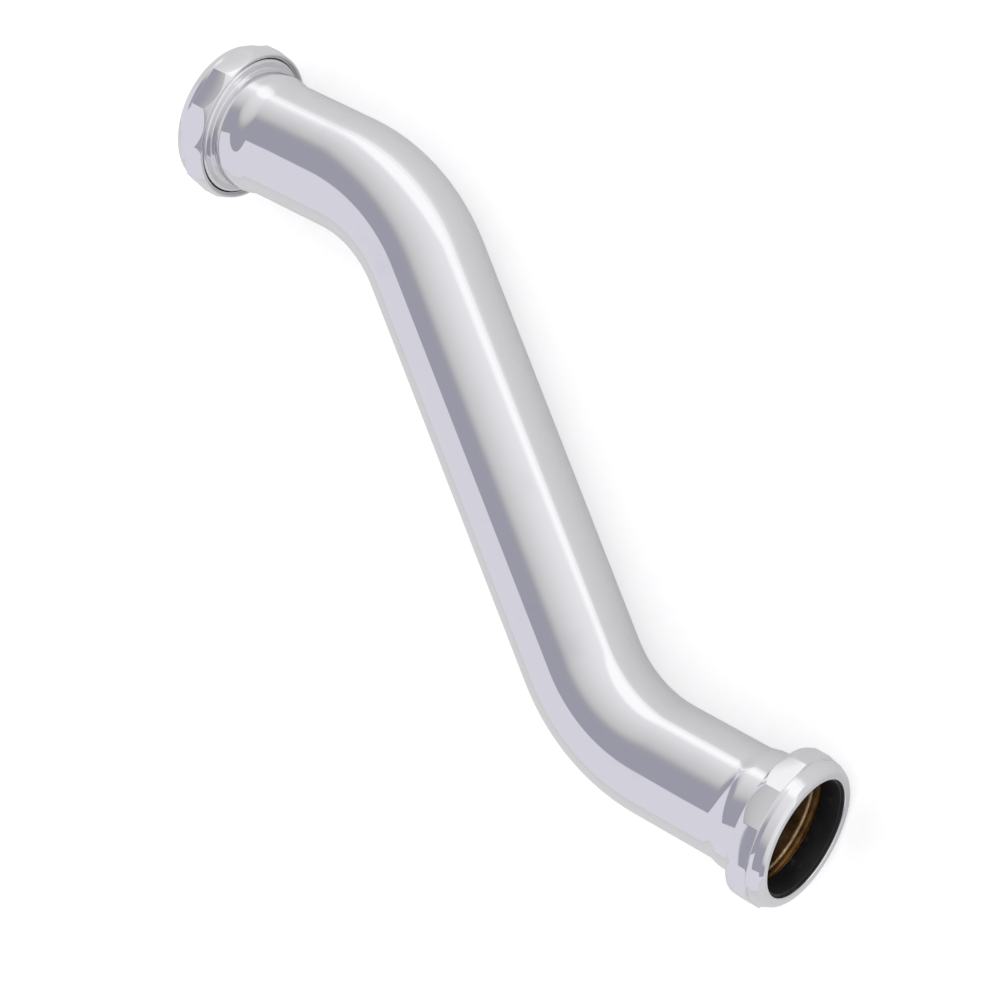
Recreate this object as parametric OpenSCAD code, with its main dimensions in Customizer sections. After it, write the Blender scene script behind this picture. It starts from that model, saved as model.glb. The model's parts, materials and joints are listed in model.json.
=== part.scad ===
// Double offset drain tube: one bent tube with a belled, threaded mouth at each end,
// and a slip nut and a slip washer on each mouth.
// It lies flat on its two nuts. Both ends run along X and are offset along Y.
// The origin is on the surface that it lies on, under the middle of the tube.

/* [Tube] */
// Outside diameter of the tube
tube_od = 38.1; // [31.8:0.1:50.8]
// Wall thickness of the tube
wall = 0.8; // [0.7:0.05:1]
// Distance between the axes of the two ends
offset_y = 127; // [100:1:180]
// Angle of each bend
bend_angle = 45; // [35:1:55]
// Radius of each bend, at the axis of the tube
bend_radius = 54; // [50:1:70]
// Length of each straight end, from the front of the nut to the bend
end_l = 53.8; // [40:0.1:90]

/* [Mouth] */
// Radial room for the mating tube inside the bell
bell_room = 0.25; // [0.2:0.05:0.4]
// Length of the bell behind its shoulder
bell_l = 6.2; // [5:0.1:8]
// Length of the taper from the bell down to the tube
taper_l = 6; // [4:0.1:8]
// Height of the thread's crest above the outside of the bell
thread_rise = 2.9; // [2.6:0.1:3.4]
// Depth of the rolled thread
thread_depth = 1; // [0.8:0.05:1.1]
// Pitch of the thread, 11.5 turns to the inch
thread_pitch = 2.209; // [1.8:0.001:2.3]
// Turns of thread on the mouth
thread_turns = 2.5; // [2.5:1:3.5]
// Radius of the roll where the thread turns in to the shoulder
roll_r = 0.6; // [0.5:0.05:0.8]
// Radius of the fillet between the shoulder and the bell
fillet_r = 0.85; // [0.6:0.05:1]

/* [Slip nut] */
// Number of wrench flats
nut_flats = 12; // [6:2:12]
// Length of the nut along its axis
nut_l = 12.4; // [12.4:0.1:16]
// Thickness of the nut between its thread and its flats
nut_wall = 1.8; // [1.6:0.1:3]
// Length of the round collar in front of the flats
collar_l = 4.9; // [4.5:0.1:6]
// Step from the collar up to the middle of a flat
collar_step = 0.3; // [0.2:0.05:0.6]
// Width of the rounded edge, from the flat face out to the collar
face_round = 2.2; // [1.5:0.1:2.4]
// Length of the chamfer at the back of the flats
chamfer_l = 2.3; // [1:0.1:3]
// Thickness of the lip that holds the washer
lip_l = 1.3; // [1:0.1:1.6]
// Radial room between the lip and the mating tube
lip_room = 0.95; // [0.6:0.05:1.2]
// Radial running clearance of the nut on the thread
nut_gap = 0.1; // [0.08:0.01:0.2]

/* [Slip washer] */
// Length of the washer's tapered nose
washer_nose_l = 3.2; // [2:0.1:3.6]
// Radial room between the washer and the mating tube
washer_room = 0.2; // [0.1:0.05:0.3]
// Gap between the washer and the faces that hold it
seat_gap = 0.1; // [0.05:0.05:0.2]

/* [Hidden] */

$fn = 96;
arc_steps = 6;
thread_steps = 12;
taper_steps = 8;
overrun = 1;

// The wall is thinner by this much on each face where the tube is bent,
// and each straight length reaches a lap's length into the bend.
bend_thinning = 0.06;
lap = 0.1;

tube_r = tube_od / 2;
bore_r = tube_r - wall;
tube_mid_r = tube_r - wall / 2;
bell_mid_r = tube_r + bell_room + wall / 2;
crest_r = bell_mid_r + wall / 2 + thread_rise;
crest_mid_r = crest_r - wall / 2;
thread_mid_r = crest_mid_r - thread_depth / 2;

nut_bore_r = crest_r + nut_gap;
flat_r = nut_bore_r + nut_wall;
corner_r = flat_r / cos(180 / nut_flats);
hole_r = tube_r + lip_room;
collar_r = flat_r - collar_step;
axis_z = flat_r;

// Depths are measured along an end's axis, from the front face of its nut into the tube.
// The shoulder's outer face is flush with the back of the nut.
shoulder_h = nut_l - wall / 2;
crest_h = shoulder_h - roll_r;
rim_h = crest_h - thread_turns * thread_pitch;
bell_h = shoulder_h + fillet_r;
taper_h = bell_h + bell_l;

middle_l = (offset_y - 2 * bend_radius * (1 - cos(bend_angle))) / sin(bend_angle);
bends_x = bend_radius * sin(bend_angle) + middle_l * cos(bend_angle) / 2;
front_x = bends_x + end_l;

// Points on an arc, from angle a to angle b
function arc(centre, r, a, b) =
    [for (i = [0 : arc_steps])
        let (t = a + (b - a) * i / arc_steps)
        centre + r * [cos(t), sin(t)]];

// One face of the sheet through the rolled thread, ending on its last crest
function thread_face(side) =
    let (steps = thread_turns * thread_steps)
    [for (i = [0 : steps])
        let (turn = i / thread_steps - thread_turns)
        [thread_mid_r + side + thread_depth / 2 * cos(360 * turn),
         crest_h + turn * thread_pitch]];

// One face of the sheet where the bell necks down to the tube
function taper_face(side) =
    [for (i = [0 : taper_steps])
        let (share = i / taper_steps)
        [tube_mid_r + side + (bell_mid_r - tube_mid_r) * (1 + cos(180 * share)) / 2,
         taper_h + share * taper_l]];

// One whole face of the sheet, side is half the wall outwards or inwards
function sheet_face(side) =
    let (roll = arc([crest_mid_r - roll_r, crest_h], roll_r + side, 0, 90),
         fillet = arc([bell_mid_r + fillet_r, bell_h], fillet_r - side, 270, 180))
    concat(thread_face(side), roll, fillet, taper_face(side), [[tube_mid_r + side, end_l + lap]]);

function backwards(points) = [for (i = [len(points) - 1 : -1 : 0]) points[i]];

// Puts what is drawn along Z, from the front of a nut inwards, at the outlet end
module at_outlet() {
    translate([front_x, -offset_y / 2, axis_z])
        rotate([0, -90, 0])
            children();
}

module at_inlet() {
    rotate([0, 0, 180])
        at_outlet()
            children();
}

// The belled and threaded mouth with its straight length of tube
module mouth() {
    rotate_extrude()
        polygon(concat(sheet_face(wall / 2), backwards(sheet_face(-wall / 2))));
}

// Ring section of the plain tube
module tube_section(thinning = 0) {
    difference() {
        circle(r = tube_r - thinning);
        circle(r = bore_r + thinning);
    }
}

// The bend next to the outlet, in the plane through both axes
module bend() {
    translate([bends_x, bend_radius - offset_y / 2, axis_z])
        rotate([0, 0, -90 - bend_angle])
            rotate_extrude(angle = bend_angle)
                translate([bend_radius, 0])
                    tube_section(bend_thinning);
}

module middle_run() {
    translate([0, 0, axis_z])
        rotate([0, 0, -bend_angle])
            rotate([0, 90, 0])
                linear_extrude(height = middle_l + 2 * lap, center = true)
                    tube_section();
}

module offset_tube() {
    color([0.84, 0.84, 0.87]) {
        at_outlet() mouth();
        at_inlet() mouth();
        bend();
        rotate([0, 0, 180]) bend();
        middle_run();
    }
}

// Outline of the nut turned about its axis: face, cone, collar, flats and back chamfer
module nut_turning() {
    bevel_r = collar_r - face_round / 2;
    bevel_h = 1;
    cone_h = 3.4;
    back_r = flat_r - 0.1;
    chamfer_slope = chamfer_l / (corner_r - back_r);
    rotate_extrude()
        polygon([
            [0, 0],
            [collar_r - face_round, 0],
            [bevel_r, bevel_h],
            [collar_r, cone_h],
            [collar_r, collar_l],
            [corner_r + overrun, collar_l],
            [corner_r + overrun, nut_l - chamfer_l - overrun * chamfer_slope],
            [back_r, nut_l],
            [0, nut_l]
        ]);
}

// Everything that is cut out along the axis: the hole, the thread's bore and its lead-in
module nut_cut() {
    edge_r = 0.5;
    lead_in = 0.9;
    hole_edge = arc([hole_r + edge_r, edge_r], edge_r, 270, 180);
    rotate_extrude()
        polygon(concat(
            [[0, -overrun], [hole_r + edge_r, -overrun]],
            hole_edge,
            [[hole_r, lip_l],
             [nut_bore_r, lip_l],
             [nut_bore_r, nut_l - lead_in],
             [nut_bore_r + lead_in, nut_l],
             [nut_bore_r + lead_in, nut_l + overrun],
             [0, nut_l + overrun]]
        ));
}

module slip_nut() {
    color([0.8, 0.8, 0.82])
        difference() {
            intersection() {
                nut_turning();
                rotate(180 / nut_flats)
                    cylinder(h = nut_l, r = corner_r, $fn = nut_flats);
            }
            nut_cut();
        }
}

// Bevelled washer: a flat ring that seats on the rim, with a nose that enters the mouth
module slip_washer() {
    washer_r = tube_r + washer_room;
    body_r = thread_mid_r + wall / 4;
    nose_r = thread_mid_r - thread_depth / 2 - wall / 2 - seat_gap;
    nose_taper = 0.8;
    front_h = lip_l + seat_gap;
    seat_h = rim_h - seat_gap;
    color([0.07, 0.07, 0.08])
        rotate_extrude()
            polygon([
                [washer_r, front_h],
                [body_r, front_h],
                [body_r, seat_h],
                [nose_r, seat_h],
                [nose_r - nose_taper, seat_h + washer_nose_l],
                [washer_r, seat_h + washer_nose_l]
            ]);
}

module inlet_nut() {
    at_inlet() slip_nut();
}

module outlet_nut() {
    at_outlet() slip_nut();
}

module inlet_washer() {
    at_inlet() slip_washer();
}

module outlet_washer() {
    at_outlet() slip_washer();
}

offset_tube();
inlet_nut();
outlet_nut();
inlet_washer();
outlet_washer();
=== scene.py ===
import json
from math import atan2, copysign, cos, pi, radians, sin

import bmesh
import bpy
from mathutils import Matrix, Vector


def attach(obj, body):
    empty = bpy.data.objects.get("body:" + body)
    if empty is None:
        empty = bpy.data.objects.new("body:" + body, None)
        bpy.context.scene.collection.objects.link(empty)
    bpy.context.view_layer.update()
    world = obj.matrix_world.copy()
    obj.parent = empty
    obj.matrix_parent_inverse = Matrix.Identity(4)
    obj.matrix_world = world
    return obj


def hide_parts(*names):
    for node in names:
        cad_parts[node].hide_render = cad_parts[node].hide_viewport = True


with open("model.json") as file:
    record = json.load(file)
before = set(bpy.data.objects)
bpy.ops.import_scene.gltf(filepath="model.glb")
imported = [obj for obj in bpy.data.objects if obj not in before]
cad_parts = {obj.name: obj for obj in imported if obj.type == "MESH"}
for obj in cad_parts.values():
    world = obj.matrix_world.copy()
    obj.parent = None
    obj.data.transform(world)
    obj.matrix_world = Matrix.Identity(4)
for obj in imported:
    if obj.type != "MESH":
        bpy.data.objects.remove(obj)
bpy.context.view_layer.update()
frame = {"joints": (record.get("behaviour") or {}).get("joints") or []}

mm = 0.001

# The camera comes first: it stands above and to the outlet's side, as in the photograph
cameraView = {
    "place": (0.5453, 0.3751, 0.9280),
    "right": (0.7730, 0.2628, -0.5774),
    "up": (-0.4107, 0.9010, -0.1397),
    "lens": 128.2,
    "clipEnd": 60,
}


def makeCamera():
    camera = bpy.data.objects.new("camera", bpy.data.cameras.new("camera"))
    bpy.context.scene.collection.objects.link(camera)
    right = Vector(cameraView["right"]).normalized()
    up = Vector(cameraView["up"])
    up = (up - right * up.dot(right)).normalized()
    back = right.cross(up)
    turned = Matrix((right, up, back)).transposed().to_4x4()
    camera.matrix_world = Matrix.Translation(cameraView["place"]) @ turned
    camera.data.lens = cameraView["lens"]
    camera.data.clip_end = cameraView["clipEnd"]
    bpy.context.scene.camera = camera


makeCamera()
print("camera in place")


# Helpers for node materials

def addNode(tree, kind, inputs=None, **settings):
    node = tree.nodes.new(kind)
    for name, value in settings.items():
        setattr(node, name, value)
    for name, value in (inputs or {}).items():
        if isinstance(value, bpy.types.NodeSocket):
            tree.links.new(value, node.inputs[name])
        else:
            node.inputs[name].default_value = value
    return node


def mathNode(tree, operation, first, second=0.0, clamp=False):
    node = addNode(tree, "ShaderNodeMath", {0: first, 1: second}, operation=operation, use_clamp=clamp)
    return node.outputs[0]


def smoothRange(tree, value, low, high, outLow=0.0, outHigh=1.0):
    inputs = {"Value": value, "From Min": low, "From Max": high, "To Min": outLow, "To Max": outHigh}
    return addNode(tree, "ShaderNodeMapRange", inputs, interpolation_type="SMOOTHSTEP").outputs["Result"]


def mixColour(tree, factor, first, second):
    node = tree.nodes.new("ShaderNodeMix")
    node.data_type = "RGBA"
    for index, value in ((0, factor), (6, first), (7, second)):
        if isinstance(value, bpy.types.NodeSocket):
            tree.links.new(value, node.inputs[index])
        else:
            node.inputs[index].default_value = value
    return node.outputs[2]


def newMaterial(name):
    material = bpy.data.materials.new(name)
    material.use_nodes = True
    tree = material.node_tree
    tree.nodes.clear()
    output = tree.nodes.new("ShaderNodeOutputMaterial")
    shader = tree.nodes.new("ShaderNodeBsdfPrincipled")
    tree.links.new(shader.outputs[0], output.inputs["Surface"])
    return material, tree, shader


def makeSurfaceMarks():
    # Shared finish: a slow waviness, fine rubbing lines and a patchy dullness
    group = bpy.data.node_groups.new("surfaceMarks", "ShaderNodeTree")
    sockets = group.interface
    for name, value in (("Wave Scale", 60.0), ("Line Scale", 900.0), ("Patch Scale", 45.0)):
        sockets.new_socket(name=name, in_out="INPUT", socket_type="NodeSocketFloat").default_value = value
    for name in ("Waves", "Lines", "Patches"):
        sockets.new_socket(name=name, in_out="OUTPUT", socket_type="NodeSocketFloat")
    ends = addNode(group, "NodeGroupInput"), addNode(group, "NodeGroupOutput")
    place = addNode(group, "ShaderNodeTexCoord").outputs["Object"]
    waves = addNode(group, "ShaderNodeTexNoise", {"Vector": place, "Scale": ends[0].outputs["Wave Scale"], "Detail": 1.0})
    lines = addNode(group, "ShaderNodeTexNoise", {"Vector": place, "Scale": ends[0].outputs["Line Scale"], "Detail": 3.0})
    patches = addNode(group, "ShaderNodeTexNoise", {"Vector": place, "Scale": ends[0].outputs["Patch Scale"], "Detail": 4.0})
    for name, node in (("Waves", waves), ("Lines", lines), ("Patches", patches)):
        group.links.new(node.outputs["Fac"], ends[1].inputs[name])
    return group


surfaceMarks = makeSurfaceMarks()


def placeMarks(tree, **scales):
    node = tree.nodes.new("ShaderNodeGroup")
    node.node_tree = surfaceMarks
    for name, value in scales.items():
        node.inputs[name.replace("Scale", " Scale")].default_value = value
    return node.outputs


chromePlate = {
    "colour": (0.83, 0.83, 0.845, 1), "dullColour": (0.79, 0.79, 0.81, 1),
    "roughness": 0.035, "dullRoughness": 0.085, "waveHeight": 0.00002,
}


def makeChromePlate():
    material, tree, shader = newMaterial("chromePlate")
    marks = placeMarks(tree, WaveScale=38, LineScale=1500, PatchScale=70)
    dull = smoothRange(tree, marks["Patches"], 0.55, 0.8)
    colour = mixColour(tree, dull, chromePlate["colour"], chromePlate["dullColour"])
    tree.links.new(colour, shader.inputs["Base Color"])
    rough = smoothRange(tree, marks["Patches"], 0.4, 0.8, chromePlate["roughness"], chromePlate["dullRoughness"])
    tree.links.new(rough, shader.inputs["Roughness"])
    shader.inputs["Metallic"].default_value = 1.0
    bump = addNode(tree, "ShaderNodeBump", {"Height": marks["Waves"], "Distance": chromePlate["waveHeight"]})
    tree.links.new(bump.outputs[0], shader.inputs["Normal"])
    return material


bareBrass = {
    "colour": (0.60, 0.42, 0.22, 1), "darkColour": (0.20, 0.12, 0.06, 1),
    "roughness": 0.28, "dullRoughness": 0.5, "lineHeight": 0.00003,
}


def makeBareBrass():
    material, tree, shader = newMaterial("bareBrass")
    marks = placeMarks(tree, WaveScale=90, LineScale=1400, PatchScale=120)
    dark = smoothRange(tree, marks["Patches"], 0.42, 0.75)
    tree.links.new(mixColour(tree, dark, bareBrass["colour"], bareBrass["darkColour"]), shader.inputs["Base Color"])
    rough = smoothRange(tree, marks["Lines"], 0.3, 0.7, bareBrass["roughness"], bareBrass["dullRoughness"])
    tree.links.new(rough, shader.inputs["Roughness"])
    shader.inputs["Metallic"].default_value = 1.0
    bump = addNode(tree, "ShaderNodeBump", {"Height": marks["Lines"], "Distance": bareBrass["lineHeight"]})
    tree.links.new(bump.outputs[0], shader.inputs["Normal"])
    return material


blackRubber = {
    "colour": (0.012, 0.012, 0.013, 1), "dustColour": (0.06, 0.06, 0.062, 1),
    "roughness": 0.42, "dullRoughness": 0.62, "grainHeight": 0.00004,
}


def makeBlackRubber():
    material, tree, shader = newMaterial("blackRubber")
    marks = placeMarks(tree, WaveScale=150, LineScale=2500, PatchScale=350)
    dust = smoothRange(tree, marks["Patches"], 0.62, 0.75)
    tree.links.new(mixColour(tree, dust, blackRubber["colour"], blackRubber["dustColour"]), shader.inputs["Base Color"])
    rough = smoothRange(tree, marks["Waves"], 0.35, 0.7, blackRubber["roughness"], blackRubber["dullRoughness"])
    tree.links.new(rough, shader.inputs["Roughness"])
    bump = addNode(tree, "ShaderNodeBump", {"Height": marks["Lines"], "Distance": blackRubber["grainHeight"]})
    tree.links.new(bump.outputs[0], shader.inputs["Normal"])
    return material


materials = {"chrome": makeChromePlate(), "brass": makeBareBrass(), "rubber": makeBlackRubber()}
print("materials ready")


# Places that the frame gives. Depths run from the front of a nut into the tube.
hinges = {joint["name"]: joint for joint in frame["joints"] if joint["type"] == "hinge"}


def endPlace(end):
    # Maps local Z, the depth, onto the end's own axis
    hinge = hinges[end + "_nut_turn"]
    inwards = -Vector(hinge["axis"])
    side = Vector((0, 0, 1))
    turned = Matrix((side.cross(inwards), side, inwards)).transposed().to_4x4()
    return Matrix.Translation(hinge["pos_m"]) @ turned


def linkPiece(name, bm, body, stands, skins):
    mesh = bpy.data.meshes.new(name)
    bm.to_mesh(mesh)
    bm.free()
    piece = bpy.data.objects.new(name, mesh)
    bpy.context.scene.collection.objects.link(piece)
    for skin in skins:
        mesh.materials.append(materials[skin])
    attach(piece, body)
    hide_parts(stands)
    return piece


def smoothFaces(bm):
    for face in bm.faces:
        face.smooth = True


def arcPoints(centre, radius, start, end, steps):
    angles = [radians(start + (end - start) * step / steps) for step in range(steps + 1)]
    return [(centre[0] + radius * cos(angle), centre[1] + radius * sin(angle)) for angle in angles]


# The tube: one bent sheet of brass, plated outside
tube = {
    "radius": 19.05 * mm, "wall": 0.8 * mm, "bendRadius": 54 * mm, "bendAngle": radians(45), "endLength": 53.8 * mm,
    "bellRadius": 20.1 * mm, "bellLength": 6.2 * mm, "taperLength": 6 * mm, "shoulderDepth": 12.4 * mm,
    "crestRadius": 23 * mm, "threadDepth": 1 * mm, "pitch": 2.209 * mm, "turns": 2.5,
    "roll": 0.6 * mm, "fillet": 0.85 * mm, "runOut": 0.45,
    "segments": 144, "bendSteps": 30, "threadSteps": 16, "straightSteps": 10,
}


def mouthProfile(outer):
    # (radius, depth) of one face of the sheet, from the rim to the end of the taper
    half = tube["wall"] / 2
    side = half if outer else -half
    shoulder = tube["shoulderDepth"] - half
    crest = tube["crestRadius"] - half
    crestDepth = shoulder - tube["roll"]
    bell = tube["bellRadius"] - half
    length = tube["turns"] * tube["pitch"]
    rings = round(tube["turns"] * tube["threadSteps"])
    points = [(crest + side, crestDepth - length * (1 - ring / rings)) for ring in range(rings)]
    points += arcPoints((crest - tube["roll"], crestDepth), tube["roll"] + side, 0, 90, 8)
    bellDepth = shoulder + tube["fillet"]
    points += arcPoints((bell + tube["fillet"], bellDepth), tube["fillet"] - side, 270, 180, 8)
    taperDepth = bellDepth + tube["bellLength"]
    plain = tube["radius"] - half
    for step in range(25):
        share = step / 24
        points.append((plain + side + (bell - plain) * (1 + cos(pi * share)) / 2, taperDepth + share * tube["taperLength"]))
    return points


def threadLift(depth, turn):
    # How far the rolled thread sinks below its crest at a depth, for an angle about the outward axis
    crestDepth = tube["shoulderDepth"] - tube["wall"] / 2 - tube["roll"]
    pitchesOut = (crestDepth - depth) / tube["pitch"]
    fade = min(max(pitchesOut / tube["runOut"], 0), 1)
    wave = (1 - cos(2 * pi * pitchesOut - turn)) / 2
    return tube["threadDepth"] * wave * fade * fade * (3 - 2 * fade)


def growMouth(bm, ring, place, points):
    # Extrudes ring after ring along the points, in the end's own frame
    back = place.inverted()
    for (radius, depth), (nextRadius, nextDepth) in zip(points, points[1:]):
        if (radius, depth) == (nextRadius, nextDepth):
            continue
        ring = extrudeRing(bm, ring)
        centre = Matrix.Translation((0, 0, -depth)) @ back
        share = nextRadius / radius
        bmesh.ops.scale(bm, vec=(share, share, 1), space=centre, verts=ring["verts"])
        bmesh.ops.translate(bm, vec=(0, 0, nextDepth - depth), space=back, verts=ring["verts"])
    return ring


def extrudeRing(bm, ring):
    grown = bmesh.ops.extrude_edge_only(bm, edges=ring["edges"])["geom"]
    verts = [part for part in grown if isinstance(part, bmesh.types.BMVert)]
    edges = [part for part in grown if isinstance(part, bmesh.types.BMEdge)]
    return {"verts": verts, "edges": edges}


def straightRun(bm, ring, step, count):
    for _ in range(count):
        ring = extrudeRing(bm, ring)
        bmesh.ops.translate(bm, vec=step, verts=ring["verts"])
    return ring


def bendRun(bm, ring, centre, angle):
    spun = bmesh.ops.spin(bm, geom=ring["verts"] + ring["edges"], cent=centre, axis=(0, 0, 1), angle=angle,
                          steps=tube["bendSteps"], use_merge=False, use_duplicate=False)["geom_last"]
    verts = [part for part in spun if isinstance(part, bmesh.types.BMVert)]
    edges = [part for part in spun if isinstance(part, bmesh.types.BMEdge)]
    return {"verts": verts, "edges": edges}


def growSkin(bm, ring, outer, start, finish):
    # One face of the sheet, from the rim that the ring lies on to the rim at the other end
    points = mouthProfile(outer)
    place = endPlace(start)
    ring = growMouth(bm, ring, place, [(ring["radius"], points[0][1])] + points)
    inwards = place.to_3x3() @ Vector((0, 0, 1))
    plainLength = tube["endLength"] - points[-1][1]
    ring = straightRun(bm, ring, inwards * plainLength / 3, 3)
    front = place.translation
    centre = front + inwards * tube["endLength"] - Vector((0, copysign(tube["bendRadius"], front.y), 0))
    ring = bendRun(bm, ring, centre, -tube["bendAngle"])
    slope = Matrix.Rotation(-tube["bendAngle"], 3, "Z") @ inwards
    rise = 2 * abs(front.y) - 2 * tube["bendRadius"] * (1 - cos(tube["bendAngle"]))
    ring = straightRun(bm, ring, slope * rise / sin(tube["bendAngle"]) / tube["straightSteps"], tube["straightSteps"])
    ring = bendRun(bm, ring, Vector((-centre.x, -centre.y, centre.z)), tube["bendAngle"])
    ring = straightRun(bm, ring, inwards * plainLength / 3, 3)
    ring = growMouth(bm, ring, endPlace(finish), points[::-1])
    ring["radius"] = points[0][0]
    return ring


def rollThreads(bm):
    # Turns the plain mouths into rolled spirals
    for end in ("outlet", "inlet"):
        place = endPlace(end)
        back = place.inverted()
        for vert in bm.verts:
            local = back @ vert.co
            if 0 < local.z < tube["shoulderDepth"] - tube["roll"] and local.xy.length > tube["bellRadius"]:
                turn = atan2(-local.y, local.x)
                radius = local.xy.length
                share = (radius - threadLift(local.z, turn)) / radius
                vert.co = place @ Vector((local.x * share, local.y * share, local.z))


def makeTube():
    # The outer face runs to the inlet, the inner face runs back, and the two meet at the outlet's rim
    bm = bmesh.new()
    rimRadius, rimDepth = mouthProfile(True)[0]
    rimPlace = endPlace("outlet") @ Matrix.Translation((0, 0, rimDepth))
    made = bmesh.ops.create_circle(bm, segments=tube["segments"], radius=rimRadius, matrix=rimPlace)["verts"]
    ring = {"verts": made, "edges": list(bm.edges), "radius": rimRadius}
    ring = growSkin(bm, ring, True, "outlet", "inlet")
    outerFaces = set(bm.faces)
    ring = growSkin(bm, ring, False, "inlet", "outlet")
    growMouth(bm, ring, endPlace("outlet"), [(ring["radius"], rimDepth), (rimRadius, rimDepth)])
    for face in bm.faces:
        face.material_index = 0 if face in outerFaces else 1
    bmesh.ops.remove_doubles(bm, verts=bm.verts, dist=0.001 * mm)
    rollThreads(bm)
    bmesh.ops.recalc_face_normals(bm, faces=bm.faces)
    smoothFaces(bm)
    return linkPiece("offsetTube", bm, "tube", "offset_tube", ("chrome", "brass"))


makeTube()
print("tube made")


# The slip nuts: a lip, a rounded face, a round collar and twelve flats
nut = {
    "flats": 12, "perFlat": 16, "length": 12.4 * mm, "flatRadius": 24.9 * mm, "boreRadius": 23.1 * mm,
    "holeRadius": 20 * mm, "lip": 1.3 * mm, "holeEdge": 0.5 * mm, "collarRadius": 24.6 * mm, "collarLength": 4.9 * mm,
    "faceRound": 2.2 * mm, "bevelDepth": 1 * mm, "coneDepth": 3.4 * mm, "backRadius": 24.8 * mm, "chamfer": 2.3 * mm,
    "edge": 0.12 * mm, "grooveDepth": 0.5 * mm, "leadIn": 0.9 * mm,
}


def softCorner(before, corner, after, size, steps=3):
    # Points of a small round that replaces a corner of the outline
    start = corner + (before - corner).normalized() * size
    end = corner + (after - corner).normalized() * size
    return [start.lerp(corner, step / steps).lerp(corner.lerp(end, step / steps), step / steps) for step in range(steps + 1)]


def nutOutline(turn):
    # The closed outline of the nut, (radius, depth), at one angle about its axis
    corner = pi / nut["flats"]
    offFlat = (turn + corner) % (2 * corner) - corner
    flat = nut["flatRadius"] / cos(offFlat)
    cornerRadius = nut["flatRadius"] / cos(corner)
    slope = nut["chamfer"] / (cornerRadius - nut["backRadius"])
    flatEnd = nut["length"] - (flat - nut["backRadius"]) * slope
    hole, lip = nut["holeRadius"], nut["lip"]
    faceRadius = nut["collarRadius"] - nut["faceRound"]
    corners = [
        (hole + nut["holeEdge"], 0), (faceRadius, 0), (faceRadius + nut["faceRound"] / 2, nut["bevelDepth"]),
        (nut["collarRadius"], nut["coneDepth"]), (nut["collarRadius"], nut["collarLength"]),
        (flat, nut["collarLength"]), (flat, flatEnd), (nut["backRadius"], nut["length"]),
        (nut["boreRadius"] + nut["leadIn"], nut["length"]),
    ]
    corners = [Vector(point) for point in corners]
    points = [corners[0]]
    for before, here, after in zip(corners, corners[1:], corners[2:]):
        points += softCorner(before, here, after, nut["edge"])
    points.append(corners[-1])
    boreEnd = nut["length"] - nut["leadIn"]
    steps = 48
    for step in range(steps + 1):
        depth = boreEnd + (lip + nut["edge"] - boreEnd) * step / steps
        wave = (1 + cos(2 * pi * (boreEnd - depth) / tube["pitch"] - turn)) / 2
        ends = min(step, steps - step) / 6
        points.append(Vector((nut["boreRadius"] + nut["grooveDepth"] * wave * min(ends, 1), depth)))
    points += [Vector((nut["boreRadius"], lip)), Vector((hole, lip))]
    points += [Vector(point) for point in arcPoints((hole + nut["holeEdge"], nut["holeEdge"]), nut["holeEdge"], 180, 270, 6)[:-1]]
    return points


def crowdedTurn(share):
    # Angles that crowd towards the corners, so that each corner is crisp
    sector = share * nut["flats"]
    whole = int(sector)
    within = 2 * (sector - whole) - 1
    return (whole + 0.5 + sin(within * pi / 2) / 2) * 2 * pi / nut["flats"] - pi / nut["flats"]


def makeNut(end):
    place = endPlace(end)
    segments = nut["flats"] * nut["perFlat"]
    bm = bmesh.new()
    made = bmesh.ops.create_circle(bm, segments=segments, radius=1)["verts"]
    ring = {"verts": made, "edges": list(bm.edges)}
    first = ring
    turnOf = {vert: crowdedTurn((atan2(vert.co.y, vert.co.x) / (2 * pi)) % 1) for vert in made}
    outlines = {turn: nutOutline(turn) for turn in set(turnOf.values())}
    count = len(next(iter(outlines.values())))
    for index in range(count):
        if index:
            last = set(ring["verts"])
            ring = extrudeRing(bm, ring)
            for vert in ring["verts"]:
                source = next(edge.other_vert(vert) for edge in vert.link_edges if edge.other_vert(vert) in last)
                turnOf[vert] = turnOf[source]
        for vert in ring["verts"]:
            turn = turnOf[vert]
            radius, depth = outlines[turn][index]
            vert.co = place @ Vector((radius * cos(turn + nutPhase), radius * sin(turn + nutPhase), depth))
    bmesh.ops.bridge_loops(bm, edges=ring["edges"] + first["edges"])
    bmesh.ops.recalc_face_normals(bm, faces=bm.faces)
    smoothFaces(bm)
    return linkPiece(end + "SlipNut", bm, end + "_nut", end + "_nut", ("chrome",))


# A flat faces down at rest
nutPhase = pi / 2

for end in ("inlet", "outlet"):
    makeNut(end)
print("nuts made")


# The slip washers: a flat ring with a tapered nose
washer = {
    "bore": 19.25 * mm, "front": 1.4 * mm, "bodyRadius": 22.3 * mm, "seat": 5.78 * mm,
    "noseRadius": 21.1 * mm, "tipRadius": 20.3 * mm, "tip": 8.98 * mm, "edge": 0.18 * mm, "segments": 128,
}


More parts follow.
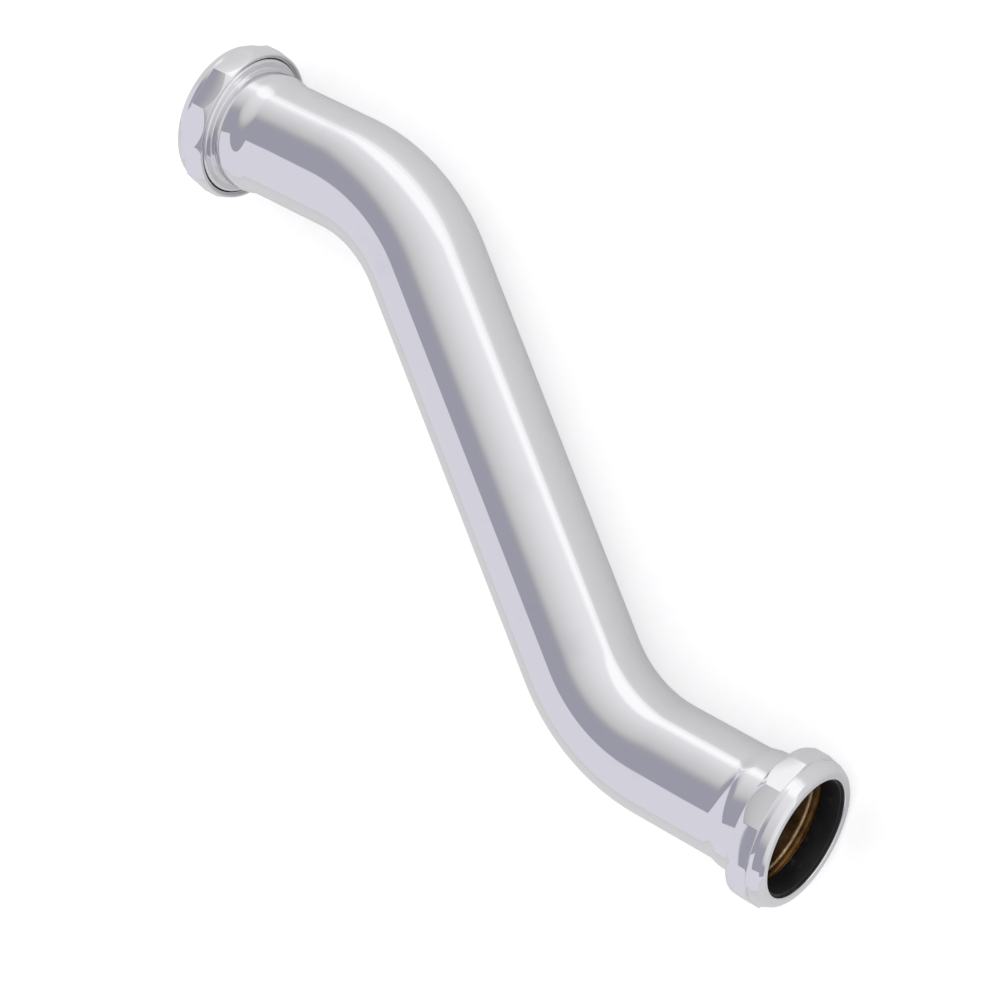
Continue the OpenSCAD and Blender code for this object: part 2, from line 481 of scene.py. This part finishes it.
def makeWasher(end):
    place = endPlace(end)
    corners = [
        (washer["bore"], washer["front"]), (washer["bodyRadius"], washer["front"]), (washer["bodyRadius"], washer["seat"]),
        (washer["noseRadius"], washer["seat"]), (washer["tipRadius"], washer["tip"]), (washer["bore"], washer["tip"]),
    ]
    bm = bmesh.new()
    verts = [bm.verts.new((radius, 0, depth)) for radius, depth in corners]
    outline = bm.faces.new(verts)
    bmesh.ops.bevel(bm, geom=verts, offset=washer["edge"], segments=3, profile=0.5, affect="VERTICES", material=-1)
    edges = list(bm.edges)
    bmesh.ops.delete(bm, geom=list(bm.faces), context="FACES_ONLY")
    bmesh.ops.spin(bm, geom=edges + list(bm.verts), cent=(0, 0, 0), axis=(0, 0, 1), angle=2 * pi,
                   steps=washer["segments"], use_merge=True, use_duplicate=False)
    bmesh.ops.remove_doubles(bm, verts=bm.verts, dist=0.001 * mm)
    bmesh.ops.recalc_face_normals(bm, faces=bm.faces)
    bmesh.ops.transform(bm, matrix=place, verts=bm.verts)
    smoothFaces(bm)
    return linkPiece(end + "SlipWasher", bm, end + "_washer", end + "_washer", ("rubber",))


for end in ("inlet", "outlet"):
    makeWasher(end)
print("washers made")


# The studio: a pale floor with a painted glow that only reflections see, soft lamps and a white background
studio = {
    "floorSize": 12.0, "floorColour": (0.80, 0.80, 0.81, 1), "floorLift": 0.42, "glowColour": (1.0, 1.0, 1.0, 1),
    "glow": 0.3, "glowNear": 0.10, "glowFar": 0.45, "glowSide": radians(80),
    "skyStrength": 0.82,
    "lampPower": 9.0, "lampSize": 1.6, "lampPlace": (0.7, 1.3, 1.9),
}


def makeFloor():
    bm = bmesh.new()
    bmesh.ops.create_grid(bm, x_segments=1, y_segments=1, size=studio["floorSize"] / 2)
    mesh = bpy.data.meshes.new("floor")
    bm.to_mesh(mesh)
    bm.free()
    floor = bpy.data.objects.new("floor", mesh)
    bpy.context.scene.collection.objects.link(floor)
    material, tree, shader = newMaterial("floorPaper")
    tree.nodes.remove(shader)
    rays = addNode(tree, "ShaderNodeLightPath").outputs
    place = addNode(tree, "ShaderNodeTexCoord").outputs["Object"]
    grain = addNode(tree, "ShaderNodeTexNoise", {"Vector": place, "Scale": 300.0}).outputs["Fac"]
    tone = smoothRange(tree, grain, 0.3, 0.7, 0.97, 1.0)
    colour = addNode(tree, "ShaderNodeVectorMath", {0: studio["floorColour"][:3], 3: tone}, operation="SCALE")
    paper = addNode(tree, "ShaderNodeBsdfDiffuse", {"Color": colour.outputs[0]}).outputs[0]
    # Painted highlight for reflections: past a line on the light side the floor glows, for glossy rays only, so the
    # chrome shows a bright strip below the horizon
    side = (cos(studio["glowSide"]), sin(studio["glowSide"]), 0)
    ahead = addNode(tree, "ShaderNodeVectorMath", {0: place, 1: side}, operation="DOT_PRODUCT").outputs["Value"]
    glow = smoothRange(tree, ahead, studio["glowNear"], studio["glowFar"], 0.0, studio["glow"])
    glow = mathNode(tree, "MULTIPLY", glow, rays["Is Glossy Ray"])
    lift = mathNode(tree, "MULTIPLY", rays["Is Camera Ray"], studio["floorLift"])
    lift = mathNode(tree, "ADD", glow, lift)
    light = addNode(tree, "ShaderNodeEmission", {"Color": studio["glowColour"], "Strength": lift}).outputs[0]
    both = addNode(tree, "ShaderNodeAddShader")
    tree.links.new(paper, both.inputs[0])
    tree.links.new(light, both.inputs[1])
    output = next(node for node in tree.nodes if node.type == "OUTPUT_MATERIAL")
    tree.links.new(both.outputs[0], output.inputs["Surface"])
    mesh.materials.append(material)


# What polished metal sees of the studio: a grey ceiling panel, a pale wall and a bright window of light
surround = {
    "pale": (0.77, 0.76, 0.84, 1), "panel": (0.385, 0.378, 0.45, 1), "panelEdge": (-0.596, -0.596, -0.5375),
    "lightSide": radians(53), "windowLow": -0.12, "windowSide": radians(83),
    "steps": ((0.0, 0.93), (0.22, 0.93), (0.5, 0.86), (0.8, 0.78), (0.94, 0.69), (0.99, 0.56), (1.0, 0.47)),
}


def makeWorld():
    world = bpy.data.worlds.new("studio")
    bpy.context.scene.world = world
    world.use_nodes = True
    tree = world.node_tree
    tree.nodes.clear()
    rays = addNode(tree, "ShaderNodeLightPath").outputs
    way = addNode(tree, "ShaderNodeTexCoord").outputs["Generated"]
    height = addNode(tree, "ShaderNodeSeparateXYZ", {0: way}).outputs["Z"]
    side = (cos(surround["lightSide"]), sin(surround["lightSide"]), 0)
    ahead = addNode(tree, "ShaderNodeVectorMath", {0: way, 1: side}, operation="DOT_PRODUCT").outputs["Value"]
    # Rising from the light side's horizon over the top: 0 at the horizon, 0.5 overhead, 1 at the far horizon
    rise = mathNode(tree, "DIVIDE", mathNode(tree, "ARCTAN2", height, ahead), pi)
    ramp = tree.nodes.new("ShaderNodeValToRGB")
    stops = ((0.0, 0.95), (0.09, 0.93), (0.16, 0.89), (0.25, 0.82), (0.33, 0.74), (0.4, 0.66), (0.46, 0.545), (0.5, 0.44))
    ramp.color_ramp.elements[0].position = stops[0][0]
    ramp.color_ramp.elements[1].position = stops[-1][0]
    for position, _ in stops[1:-1]:
        ramp.color_ramp.elements.new(position)
    for element, (_, level) in zip(ramp.color_ramp.elements, stops):
        element.color = (level, level * 0.992, level * 1.04 - 0.02, 1)
    tree.links.new(rise, ramp.inputs["Fac"])
    overhead = mixColour(tree, smoothRange(tree, rise, 0.42, 0.53), ramp.outputs["Color"], surround["panel"])
    edge = addNode(tree, "ShaderNodeVectorMath", {0: way, 1: surround["panelEdge"]}, operation="DOT_PRODUCT")
    beyond = smoothRange(tree, edge.outputs["Value"], -0.012, 0.012)
    seen = mixColour(tree, beyond, overhead, surround["pale"])
    # The bright window: from the horizon up, higher towards its middle
    windowWay = (cos(surround["windowSide"]), sin(surround["windowSide"]), 0)
    facing = addNode(tree, "ShaderNodeVectorMath", {0: way, 1: windowWay}, operation="DOT_PRODUCT").outputs["Value"]
    top = smoothRange(tree, facing, 0.75, 1.0, 0.10, 0.42)
    fade = addNode(tree, "ShaderNodeMapRange", {"Value": mathNode(tree, "SUBTRACT", height, top), "From Min": 0.12, "From Max": -0.12},
                   interpolation_type="SMOOTHSTEP").outputs["Result"]
    width = smoothRange(tree, facing, 0.62, 0.74)
    window = mathNode(tree, "MULTIPLY", fade, width)
    seen = mixColour(tree, window, seen, (1.15, 1.15, 1.16, 1))
    glossy = addNode(tree, "ShaderNodeBackground", {"Color": seen, "Strength": 1.0}).outputs[0]
    plain = addNode(tree, "ShaderNodeBackground", {"Color": (1, 1, 1, 1), "Strength": studio["skyStrength"]}).outputs[0]
    white = addNode(tree, "ShaderNodeBackground", {"Color": (1, 1, 1, 1), "Strength": 1.0}).outputs[0]
    lit = addNode(tree, "ShaderNodeMixShader", {0: rays["Is Glossy Ray"], 1: plain, 2: glossy}).outputs[0]
    shown = addNode(tree, "ShaderNodeMixShader", {0: rays["Is Camera Ray"], 1: lit, 2: white}).outputs[0]
    output = tree.nodes.new("ShaderNodeOutputWorld")
    tree.links.new(shown, output.inputs["Surface"])


def makeLamp():
    light = bpy.data.lights.new("softLamp", "AREA")
    light.shape = "DISK"
    light.size = studio["lampSize"]
    light.energy = studio["lampPower"]
    lamp = bpy.data.objects.new("softLamp", light)
    bpy.context.scene.collection.objects.link(lamp)
    lamp.location = studio["lampPlace"]
    lamp.rotation_euler = (-Vector(studio["lampPlace"])).to_track_quat("-Z", "Y").to_euler()
    lamp.visible_glossy = False


makeFloor()
makeWorld()
makeLamp()
bpy.context.scene.view_settings.view_transform = "Standard"
print("studio lit")
